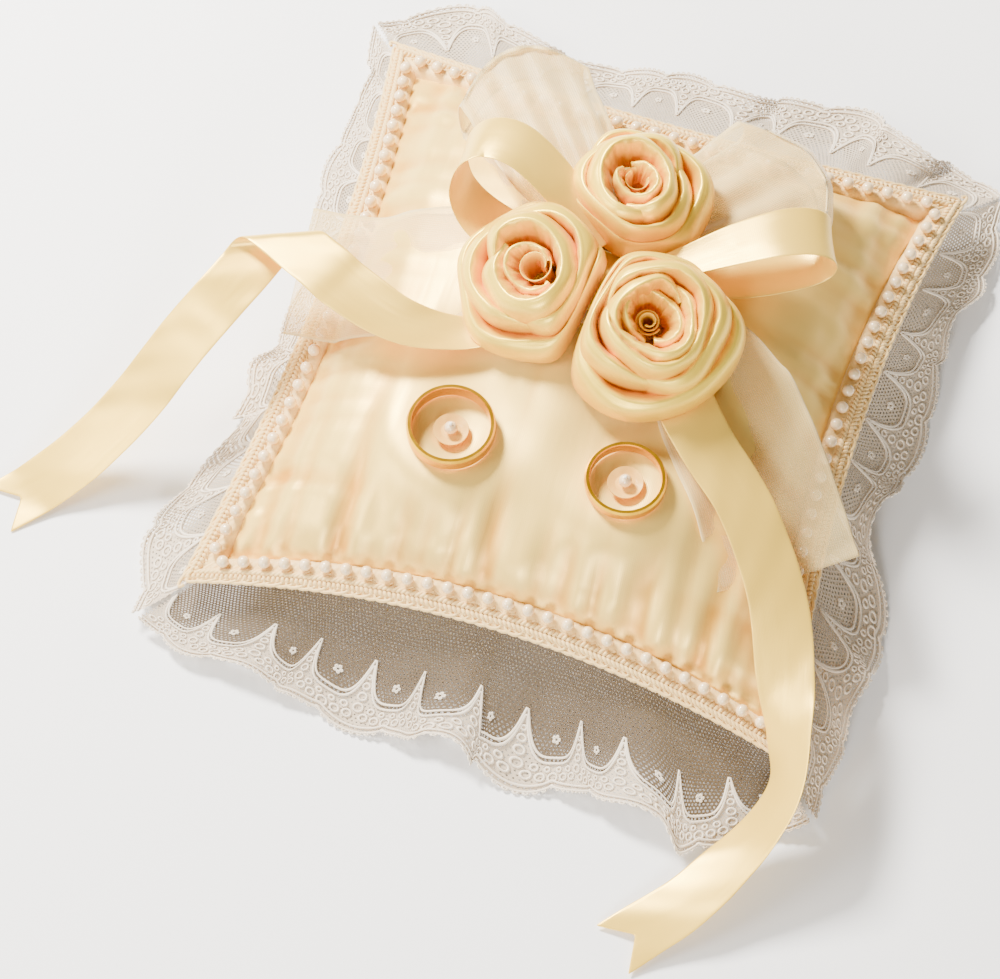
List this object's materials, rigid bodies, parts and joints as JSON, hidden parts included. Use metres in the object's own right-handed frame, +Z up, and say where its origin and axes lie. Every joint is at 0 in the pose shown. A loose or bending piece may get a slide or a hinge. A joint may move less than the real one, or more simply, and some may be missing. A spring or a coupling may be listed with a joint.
{
  "type": "ring bearer pillow",
  "caption": "Small square satin pillow with pearl braid, lace ruffle, ribbon bow and roses, holding two finger rings over sewn pearls for a wedding.",
  "frame": {"origin": "middle of the flat patch on the underside, under the middle of the pillow", "axes": "+X to the right along the front edge, +Y from the edge with the rings towards the edge with the bow, +Z up"},
  "size_m": [0.2351, 0.2504, 0.0735],
  "materials": {
    "pillow_satin": "cream satin, soft sheen, fine gathers",
    "ribbon_satin": "champagne double-face satin ribbon",
    "rose_satin": "warm cream satin ribbon, folded",
    "organza": "sheer organza ribbon with woven edge",
    "lace": "off-white net with corded swags and a scalloped edge",
    "braid": "cream gimp braid of twisted cords",
    "pearl": "imitation pearl, soft lustre",
    "sequin": "translucent cream cup sequin",
    "thread": "ivory sewing thread",
    "wadding": "polyester filling",
    "gold": "polished yellow gold colour"
  },
  "bodies": {
    "pillow": {"pillow_top_panel": "pillow_satin", "pillow_bottom_panel": "pillow_satin", "pillow_filling": "wadding", "lace_front": "lace", "lace_right": "lace", "lace_back": "lace", "lace_left": "lace", "braid_front": "braid", "braid_right": "braid", "braid_back": "braid", "braid_left": "braid", "trim_pearls_front": "pearl", "trim_pearls_right": "pearl", "trim_pearls_back": "pearl", "trim_pearls_left": "pearl", "sheer_loop_left": "organza", "sheer_loop_right": "organza", "sheer_knot": "organza", "sheer_tail_left": "organza", "sheer_tail_right": "organza", "satin_loop_left": "ribbon_satin", "satin_loop_right": "ribbon_satin", "satin_knot": "ribbon_satin", "satin_root_left": "ribbon_satin", "satin_root_right": "ribbon_satin", "rose_left_bud": "rose_satin", "rose_back_bud": "rose_satin", "rose_front_bud": "rose_satin", "rose_left_inner_wrap": "rose_satin", "rose_back_inner_wrap": "rose_satin", "rose_front_inner_wrap": "rose_satin", "rose_left_middle_wrap": "rose_satin", "rose_back_middle_wrap": "rose_satin", "rose_front_middle_wrap": "rose_satin", "rose_left_outer_wrap": "rose_satin", "rose_back_outer_wrap": "rose_satin", "rose_front_outer_wrap": "rose_satin", "anchor_sequin_left": "sequin", "anchor_sequin_right": "sequin", "anchor_pearl_left": "pearl", "anchor_pearl_right": "pearl", "anchor_thread_left": "thread", "anchor_thread_right": "thread"},
    "tail_left": {"satin_tail_left": "ribbon_satin"},
    "tail_right": {"satin_tail_right": "ribbon_satin"},
    "ring_large": {"ring_large": "gold"},
    "ring_small": {"ring_small": "gold"}
  },
  "joints": [
    {"name": "lift_tail_left", "type": "hinge", "parent": "pillow", "child": "tail_left", "pos_m": [-0.0312, -0.007, 0.04655], "axis": [0.07, 0.9975, 0], "range_deg": [0, 40]},
    {"name": "lift_tail_right", "type": "hinge", "parent": "pillow", "child": "tail_right", "pos_m": [0.03005, -0.0139, 0.0462], "axis": [-0.8924, -0.4512, 0], "range_deg": [0, 40]},
    {"name": "lift_ring_large", "type": "slide", "parent": "pillow", "child": "ring_large", "axis": [0, 0, 1], "range_m": [0, 0.04]},
    {"name": "lift_ring_small", "type": "slide", "parent": "pillow", "child": "ring_small", "axis": [0, 0, 1], "range_m": [0, 0.04]}
  ]
}
